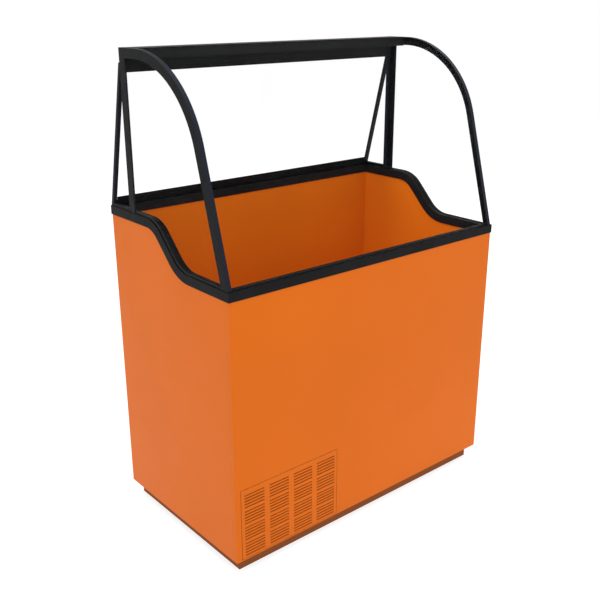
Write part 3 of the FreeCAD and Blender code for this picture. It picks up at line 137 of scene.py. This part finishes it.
# ---------------------------------------------------------------- materials

ORANGE = (0.70, 0.142, 0.005)
# painted highlight along the enamel's edges, laid in wear-like patches
WORN_HIGHLIT_ORANGE = (0.95, 0.42, 0.12)
# painted shade: the colour that slots and louvre blades are darkened to
SLOT_PAINTED_SHADE = (0.15, 0.014, 0.001)
SLOT_SHADE = 0.014              # reach of the shade in a slot, metres
LINING = (0.69, 0.168, 0.008)
# painted shade: the plinth's orange darkened for the shadow under the cabinet; its edge colour is the
# painted highlight
SHADED_ORANGE = (0.25, 0.072, 0.020)
WORN_HIGHLIT_SHADED_ORANGE = (0.4, 0.14, 0.05)
BLACK_TRIM = (0.0110, 0.0108, 0.0115)
# painted shade: the rim's upward faces darker, for the shaded groove along its top
BLACK_TRIM_TOP_SHADE = (0.0015, 0.0016, 0.0018)
BLACK_BAR = (0.0060, 0.0063, 0.0068)
# painted sheen: a lighter bluish colour on the bars' forward faces, for the reflection they catch
BLACK_BAR_FRONT_SHEEN = (0.015, 0.017, 0.026)
BLACK_HEADER = (0.0100, 0.0100, 0.0102)
# painted shade: the header's upward faces darker than its other faces
BLACK_HEADER_TOP_SHADE = (0.0030, 0.0031, 0.0034)
# painted highlight along the black parts' edges, laid in wear-like patches
WORN_HIGHLIT_BLACK = (0.05, 0.055, 0.065)
UPWARD = (0.0, 0.0, 1.0)
FORWARD = (0.0, -0.95, 0.31)    # the way the arches' front faces look
MIX_FIRST = 6                   # the Mix node's colour sockets, by number: its names repeat
MIX_SECOND = 7
MIX_RESULT = 2


class Finish:
    """One procedural material; coordinates are the object's own, in metres."""

    def __init__(self, name, color, roughness, specular=0.5, metallic=0.0):
        self.material = bpy.data.materials.new(name)
        self.material.use_nodes = True
        self.tree = self.material.node_tree
        self.shader = self.tree.nodes["Principled BSDF"]
        self.color = color
        self.roughness = roughness
        self.set("Base Color", (*color, 1.0))
        self.set("Roughness", roughness)
        self.set("Specular IOR Level", specular)
        self.set("Metallic", metallic)
        self.place = self.node("ShaderNodeTexCoord").outputs["Object"]
        self.height = None

    def node(self, kind, **settings):
        made = self.tree.nodes.new(kind)
        for key, value in settings.items():
            setattr(made, key, value)
        return made

    def link(self, output, target):
        self.tree.links.new(output, target)

    def set(self, socket, value):
        self.shader.inputs[socket].default_value = value

    def stretched(self, scale):
        mapping = self.node("ShaderNodeMapping")
        mapping.inputs["Scale"].default_value = scale
        self.link(self.place, mapping.inputs["Vector"])
        return mapping.outputs["Vector"]

    def noise(self, scale, detail=3.0, stretch=None, rough=0.5):
        made = self.node("ShaderNodeTexNoise")
        made.inputs["Scale"].default_value = scale
        made.inputs["Detail"].default_value = detail
        made.inputs["Roughness"].default_value = rough
        self.link(self.stretched(stretch) if stretch else self.place, made.inputs["Vector"])
        return made.outputs["Fac"]

    def ranged(self, value, low, high, to_low, to_high):
        made = self.node("ShaderNodeMapRange")
        self.link(value, made.inputs["Value"])
        keys = ("From Min", "From Max", "To Min", "To Max")
        for key, number in zip(keys, (low, high, to_low, to_high)):
            made.inputs[key].default_value = number
        return made.outputs["Result"]

    def mixed(self, share, first, second):
        """Colour going from first to second with share; each is a colour or a socket."""
        made = self.node("ShaderNodeMix", data_type="RGBA")
        self.link(share, made.inputs["Factor"])
        for socket, value in ((made.inputs[MIX_FIRST], first), (made.inputs[MIX_SECOND], second)):
            if isinstance(value, bpy.types.NodeSocket):
                self.link(value, socket)
            else:
                socket.default_value = (*value, 1.0)
        return made.outputs[MIX_RESULT]

    def mottle(self, scale, amount, tint=(1.0, 1.0, 1.0), stretch=None):
        """Slow drift of the base colour, lighter and darker by amount."""
        share = self.ranged(self.noise(scale, 4.0, stretch), 0.35, 0.65, 0.0, 1.0)
        dark = tuple(c * (1.0 - amount) for c in self.color)
        light = tuple(min(1.0, c * (1.0 + amount) * t) for c, t in zip(self.color, tint))
        self.base = self.mixed(share, dark, light)
        self.link(self.base, self.shader.inputs["Base Color"])

    def over(self, share, color):
        self.base = self.mixed(share, self.base, color)
        self.link(self.base, self.shader.inputs["Base Color"])

    def vary_gloss(self, scale, amount, stretch=None):
        drift = self.noise(scale, 4.0, stretch)
        spread = self.ranged(drift, 0.3, 0.7, self.roughness - amount, self.roughness + amount)
        self.link(spread, self.shader.inputs["Roughness"])

    def bumps(self, value, depth):
        made = self.node("ShaderNodeBump")
        made.inputs["Strength"].default_value = 1.0
        made.inputs["Distance"].default_value = depth
        self.link(value, made.inputs["Height"])
        if self.height:
            self.link(self.height, made.inputs["Normal"])
        self.height = made.outputs["Normal"]
        self.link(self.height, self.shader.inputs["Normal"])

    def soft_edges(self, radius):
        made = self.node("ShaderNodeBevel", samples=4)
        made.inputs["Radius"].default_value = radius
        self.height = made.outputs["Normal"]
        self.link(self.height, self.shader.inputs["Normal"])
        return made.outputs["Normal"]

    def facing(self, axis, low, high):
        """Share from 0 to 1 as the surface turns towards an axis of the object."""
        dot = self.node("ShaderNodeVectorMath", operation="DOT_PRODUCT")
        self.link(self.node("ShaderNodeTexCoord").outputs["Normal"], dot.inputs[0])
        dot.inputs[1].default_value = axis
        return self.ranged(dot.outputs["Value"], low, high, 0.0, 1.0)

    def highlit_worn_edges(self, radius, color, amount, evenness=0.0):
        """Painted highlight along edges, in wear-like patches: lighter where the rounded normal leaves
        the flat one.
        """
        soft = self.soft_edges(radius)
        flat = self.node("ShaderNodeNewGeometry").outputs["True Normal"]
        dot = self.node("ShaderNodeVectorMath", operation="DOT_PRODUCT")
        self.link(soft, dot.inputs[0])
        self.link(flat, dot.inputs[1])
        edge = self.ranged(dot.outputs["Value"], 0.995, 0.80, 0.0, amount)
        patches = self.ranged(self.noise(60.0, 5.0), 0.42, 0.62, evenness, 1.0)
        both = self.node("ShaderNodeMath", operation="MULTIPLY")
        self.link(edge, both.inputs[0])
        self.link(patches, both.inputs[1])
        self.over(both.outputs["Value"], color)


def enamel(name, color, roughness=0.36, specular=0.08, peel=0.00006, edge=None, recess=None):
    """Baked enamel on sheet steel: fine orange peel and slow gloss drift.
    edge is the colour of the painted edge highlight, laid in wear-like patches, and recess that of the
    painted shade in slots."""
    made = Finish(name, color, roughness, specular)
    made.mottle(2.2, 0.025)
    made.vary_gloss(14.0, 0.05)
    if recess:
        # painted shade: darkened towards the slot colour where ambient occlusion finds near walls
        shade = made.node("ShaderNodeAmbientOcclusion", samples=6)
        shade.inputs["Distance"].default_value = SLOT_SHADE
        made.over(made.ranged(shade.outputs["AO"], 0.95, 0.58, 0.0, 1.0), recess)
    # painted highlight along the edges, in wear-like patches
    if edge:
        made.highlit_worn_edges(0.0012, edge, 0.5)
    made.bumps(made.noise(260.0, 2.0), peel)
    made.bumps(made.noise(900.0, 2.0), peel / 3)
    return made.material


def trim(name, color, roughness=0.45, specular=0.04, grain=700.0, depth=0.00005, turned=None):
    """Black extrusion or powder coat: fine pebbled grain, and a grey painted highlight along the edges
    in wear-like patches.
    turned is (axis, colour): the colour painted on the faces that look along that axis, standing for
    how light falls on them."""
    made = Finish(name, color, roughness, specular)
    made.mottle(9.0, 0.12, (1.0, 1.04, 1.12))
    made.vary_gloss(30.0, 0.08)
    # painted light and shade: the faces that look along the axis take a colour of their own
    if turned:
        axis, tone = turned
        made.over(made.facing(axis, 0.45, 0.75), tone)
    # painted grey highlight along the edges, in wear-like patches
    made.highlit_worn_edges(0.0009, WORN_HIGHLIT_BLACK, 0.35, 0.9)
    made.bumps(made.noise(grain, 3.0), depth)
    return made.material


def metal(name, color, roughness, stretch=None, scale=180.0, depth=0.00003, spread=0.1):
    """Bare metal, with drawn or brushed streaks where stretch is given."""
    made = Finish(name, color, roughness, 0.5, 1.0)
    made.mottle(25.0, 0.10, stretch=stretch)
    made.vary_gloss(scale / 3, spread, stretch)
    made.soft_edges(0.0006)
    made.bumps(made.noise(scale, 4.0, stretch), depth)
    return made.material


def galvanised(name):
    """Hot-dip zinc with its spangle."""
    made = Finish(name, (0.50, 0.52, 0.54), 0.42, 0.5, 1.0)
    cells = made.node("ShaderNodeTexVoronoi", feature="F1")
    cells.inputs["Scale"].default_value = 90.0
    made.link(made.place, cells.inputs["Vector"])
    grey = made.node("ShaderNodeRGBToBW")
    made.link(cells.outputs["Color"], grey.inputs["Color"])
    made.base = made.mixed(grey.outputs["Val"], (0.36, 0.38, 0.40), (0.62, 0.64, 0.66))
    made.link(made.base, made.shader.inputs["Base Color"])
    made.link(made.ranged(grey.outputs["Val"], 0.0, 1.0, 0.32, 0.55), made.shader.inputs["Roughness"])
    made.soft_edges(0.0006)
    made.bumps(made.noise(400.0), 0.00003)
    return made.material


def moulded(name, color, roughness=0.45, specular=0.3, grain=900.0, depth=0.00004):
    made = Finish(name, color, roughness, specular)
    made.mottle(20.0, 0.08)
    made.vary_gloss(50.0, 0.06)
    made.soft_edges(0.0005)
    made.bumps(made.noise(grain, 3.0), depth)
    return made.material


def rubber(name):
    made = Finish(name, (0.012, 0.012, 0.013), 0.7, 0.2)
    made.mottle(40.0, 0.25)
    made.vary_gloss(80.0, 0.1)
    made.soft_edges(0.0006)
    made.bumps(made.noise(1200.0, 2.0), 0.00004)
    return made.material


def clear(name, tint, alpha, specular):
    """A clean clear pane: almost nothing face on, a little more sheen when seen at a slant."""
    made = Finish(name, tint, 0.06, specular)
    made.mottle(3.0, 0.06)
    made.vary_gloss(8.0, 0.02)
    slant = made.node("ShaderNodeLayerWeight")
    slant.inputs["Blend"].default_value = 0.25
    share = made.ranged(slant.outputs["Facing"], 0.0, 1.0, alpha, alpha * 4)
    made.link(share, made.shader.inputs["Alpha"])
    return made.material


def foam(name):
    made = Finish(name, (0.62, 0.53, 0.28), 0.85, 0.1)
    made.mottle(35.0, 0.2)
    cells = made.node("ShaderNodeTexVoronoi")
    cells.inputs["Scale"].default_value = 500.0
    made.link(made.place, cells.inputs["Vector"])
    made.bumps(cells.outputs["Distance"], 0.0006)
    made.bumps(made.noise(60.0, 5.0), 0.002)
    return made.material


def paint(material, *names):
    for name in names:
        for slot in NODES[name].material_slots:
            slot.material = material


def paint_body():
    """Enamelled panels, lining and plinth."""
    paint(enamel("orange_enamel", ORANGE, edge=WORN_HIGHLIT_ORANGE),
          "front_panel", "side_panel_left", "side_panel_right", "rear_panel")
    paint(enamel("louvre_enamel", ORANGE, edge=WORN_HIGHLIT_ORANGE, recess=SLOT_PAINTED_SHADE),
          "rear_cover", "front_grille")
    paint(enamel("orange_lining", LINING, 0.34, 0.06, 0.00003),
          "tank_front_wall", "tank_rear_wall", "tank_left_wall", "tank_right_wall",
          "tank_floor", "tank_step_wall", "tank_step_top")
    # plinth: orange darkened as painted shade, with painted highlight on the edges
    paint(enamel("plinth_enamel", SHADED_ORANGE, 0.55, 0.05, edge=WORN_HIGHLIT_SHADED_ORANGE), "plinth_rails")


def paint_frame():
    """Rim, door tracks, the canopy's black bars and header, the glass and the doors."""
    paint(trim("black_trim", BLACK_TRIM, turned=(UPWARD, BLACK_TRIM_TOP_SHADE)),
          "rim_front", "rim_rear", "rim_left", "rim_right", "door_track_bottom", "door_track_top")
    paint(trim("black_enamel", BLACK_BAR, 0.40, 0.06, 420.0, 0.00007,
               turned=(FORWARD, BLACK_BAR_FRONT_SHEEN)),
          "arch_left", "arch_right", "post_left", "post_right", "brace_left", "brace_right",
          "side_sills")
    paint(trim("header_enamel", BLACK_HEADER, 0.40, 0.05, 420.0, 0.00007,
               turned=(UPWARD, BLACK_HEADER_TOP_SHADE)), "header_channel")
    paint(clear("clear_glass", (0.10, 0.13, 0.12), 0.003, 0.5),
          "front_glass", "side_glass_left", "side_glass_right")
    paint(clear("clear_acrylic", (0.12, 0.13, 0.13), 0.003, 0.5), "door_left", "door_right")


def paint_inside():
    """Base, insulation, refrigeration, lamp, controls, seals, drain and screws."""
    paint(galvanised("galvanised"), "base_pan", "machine_bay_lining")
    paint(foam("foam"), "foam_insulation")
    paint(metal("coil_aluminium", (0.72, 0.73, 0.75), 0.4, (1.0, 12.0, 1.0)),
          "evaporator_coil", "condenser_coil")
    paint(metal("lamp_aluminium", (0.75, 0.76, 0.78), 0.34, (0.03, 1.0, 1.0), 600.0), "lamp_housing")
    paint(metal("machine_steel", (0.48, 0.49, 0.50), 0.42),
          "compressor_pump", "fan_shroud", "thermostat_body", "fan_motor")
    paint(metal("copper", (0.78, 0.36, 0.22), 0.34, scale=120.0), "filter_drier", "refrigerant_lines")
    paint(metal("screw_steel", (0.55, 0.55, 0.55), 0.3, scale=900.0), "panel_screws")
    paint(trim("compressor_black", (0.010, 0.010, 0.011), 0.3, 0.5, 300.0, 0.00006), "compressor_shell")
    paint(rubber("seal_rubber"), "glass_seals", "compressor_grommets", "drain_plug")
    paint(moulded("black_plastic", (0.012, 0.012, 0.013)),
          "electrical_box", "fan_blade", "control_panel", "thermostat_knob", "switch_housings",
          "power_rocker", "lamp_rocker", "power_inlet")
    paint(moulded("lamp_white", (0.85, 0.86, 0.85), 0.5, 0.4, 250.0, 0.0001), "lamp_diffuser")
    paint(moulded("drain_plastic", (0.80, 0.80, 0.77), 0.3, 0.5), "drain_tube")


# ---------------------------------------------------------------- printed marks at the rear controls

PLATE_T = 0.0012                   # thickness of the control tray's sheet
MARK_T = 0.00015                   # height of a printed mark
MARK_TAPER = 0.94                  # a mark's top against its foot
DIAL_SWEEP = math.radians(300.0)
DIAL_TICKS = 13                    # a long one for each figure and a short one between two
DIAL_FIGURES = 7
DIAL_GAP = 0.0012                  # from the knob's skirt to the ticks
LONG_TICK = 0.0030
SHORT_TICK = 0.0018
TICK_W = 0.0005
FIGURE_SIZE = 0.0048
FIGURE_GAP = 0.0072                # from the knob's skirt to the figures' middles
POINTER_MIDDLE = 0.0072            # from the knob's axis to the middle of its line
POINTER_LINE = (0.0105, 0.0011)
ROCKER_BAR = (0.0032, 0.0007)
ROCKER_RING = (0.0016, 0.0007)
BEHIND = Vector((0.0, 1.0, 0.0))
REAR_VIEW = Matrix(((-1.0, 0.0, 0.0), (0.0, 0.0, 1.0), (0.0, 1.0, 0.0)))    # text upright from behind


def piece(name, mesh, material, body):
    made = bpy.data.objects.new(name, mesh)
    mesh.materials.append(material)
    SCENE.collection.objects.link(made)
    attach(made, body)


def bar(built, middle, along, across, length, width, out):
    """Flat bevelled bar on a surface whose outward direction is out."""
    signs = ((-1, -1), (1, -1), (1, 1), (-1, 1))
    corners = [(i * along * length + j * across * width) / 2 for i, j in signs]
    foot = [built.verts.new(middle + c) for c in corners]
    top = [built.verts.new(middle + c * MARK_TAPER + out * MARK_T) for c in corners]
    for k in range(4):
        built.faces.new((foot[k], foot[(k + 1) % 4], top[(k + 1) % 4], top[k]))
    built.faces.new(top)


def ring(built, middle, along, across, radius, width, out, steps=28):
    """Flat bevelled ring on a surface."""
    angles = [2 * math.pi * k / steps for k in range(steps)]
    rays = [along * math.cos(a) + across * math.sin(a) for a in angles]
    loops = []
    for reach, lift in ((-0.5, 0.0), (-0.4, MARK_T), (0.4, MARK_T), (0.5, 0.0)):
        r = radius + reach * width
        loops.append([built.verts.new(middle + ray * r + out * lift) for ray in rays])
    for inner, outer in zip(loops, loops[1:]):
        for k in range(steps):
            built.faces.new((inner[k], outer[k], outer[(k + 1) % steps], inner[(k + 1) % steps]))


def finished(name, built):
    bmesh.ops.recalc_face_normals(built, faces=built.faces)
    mesh = bpy.data.meshes.new(name)
    built.to_mesh(mesh)
    built.free()
    return mesh


def figure_mesh(name, text, size):
    curve = bpy.data.curves.new(name, "FONT")
    curve.body = text
    curve.size = size
    curve.align_x = "CENTER"
    curve.align_y = "CENTER"
    curve.extrude = MARK_T
    carrier = bpy.data.objects.new(name, curve)
    mesh = bpy.data.meshes.new_from_object(carrier)
    bpy.data.objects.remove(carrier)
    return mesh


def dial_ray(k, count):
    """Direction of mark k of count round the dial, clockwise from the top, seen from behind."""
    turn = DIAL_SWEEP * k / (count - 1)
    return Vector((-math.sin(turn), 0.0, math.cos(turn)))


def make_dial(ink):
    """Tick ring and the numbers 1 to 7 round the thermostat knob, and a line on its pointer."""
    low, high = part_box("thermostat_knob")
    plate_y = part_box("control_panel")[0].y + PLATE_T
    centre = Vector(((low.x + high.x) / 2, plate_y, (low.z + high.z) / 2))
    reach = (high.x - low.x) / 2
    built = bmesh.new()
    for k in range(DIAL_TICKS):
        ray = dial_ray(k, DIAL_TICKS)
        length = LONG_TICK if k % 2 == 0 else SHORT_TICK
        middle = centre + ray * (reach + DIAL_GAP + length / 2)
        bar(built, middle, ray, ray.cross(BEHIND), length, TICK_W, BEHIND)
    piece("dial_ticks", finished("dial_ticks", built), ink, "cabinet")
    for k in range(DIAL_FIGURES):
        place = centre + dial_ray(k, DIAL_FIGURES) * (reach + FIGURE_GAP)
        name = "dial_figure_%d" % (k + 1)
        mesh = figure_mesh(name, str(k + 1), FIGURE_SIZE)
        mesh.transform(Matrix.Translation(place) @ REAR_VIEW.to_4x4())
        piece(name, mesh, ink, "cabinet")
    built = bmesh.new()
    middle = Vector((centre.x, high.y, centre.z + POINTER_MIDDLE))
    bar(built, middle, Vector((0.0, 0.0, 1.0)), Vector((1.0, 0.0, 0.0)), *POINTER_LINE, BEHIND)
    piece("knob_line", finished("knob_line", built), ink, "knob")


def rocker_half(node, side):
    """Middle and outward direction of the rocker's upper (1) or lower (-1) half."""
    mesh = NODES[node].data
    low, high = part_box(node)
    level = (low.z + high.z) / 2
    middle = Vector()
    out = Vector()
    area = 0.0
    for face in mesh.polygons:
        if face.normal.y > 0.8 and (face.center.z - level) * side > 0.0:
            middle += face.center * face.area
            out += face.normal * face.area
            area += face.area
    return middle / area, out.normalized()


def make_rocker_marks(ink):
    """An upright bar for on and a ring for off on each rocker."""
    along = Vector((1.0, 0.0, 0.0))
    for node, body in (("power_rocker", "power_switch"), ("lamp_rocker", "lamp_switch")):
        built = bmesh.new()
        middle, out = rocker_half(node, 1)
        bar(built, middle, out.cross(along), along, *ROCKER_BAR, out)
        middle, out = rocker_half(node, -1)
        ring(built, middle, along, out.cross(along), *ROCKER_RING, out)
        piece(node + "_marks", finished(node + "_marks", built), ink, body)


make_camera()
make_light()
make_floor()
paint_body()
paint_frame()
paint_inside()
INK = moulded("dial_ink", (0.80, 0.80, 0.78), 0.5, 0.2, 1500.0, 0.00001)
make_dial(INK)
make_rocker_marks(INK)
SCENE.view_settings.view_transform = "Standard"
SCENE.view_settings.look = "None"
SCENE.cycles.transparent_max_bounces = 24
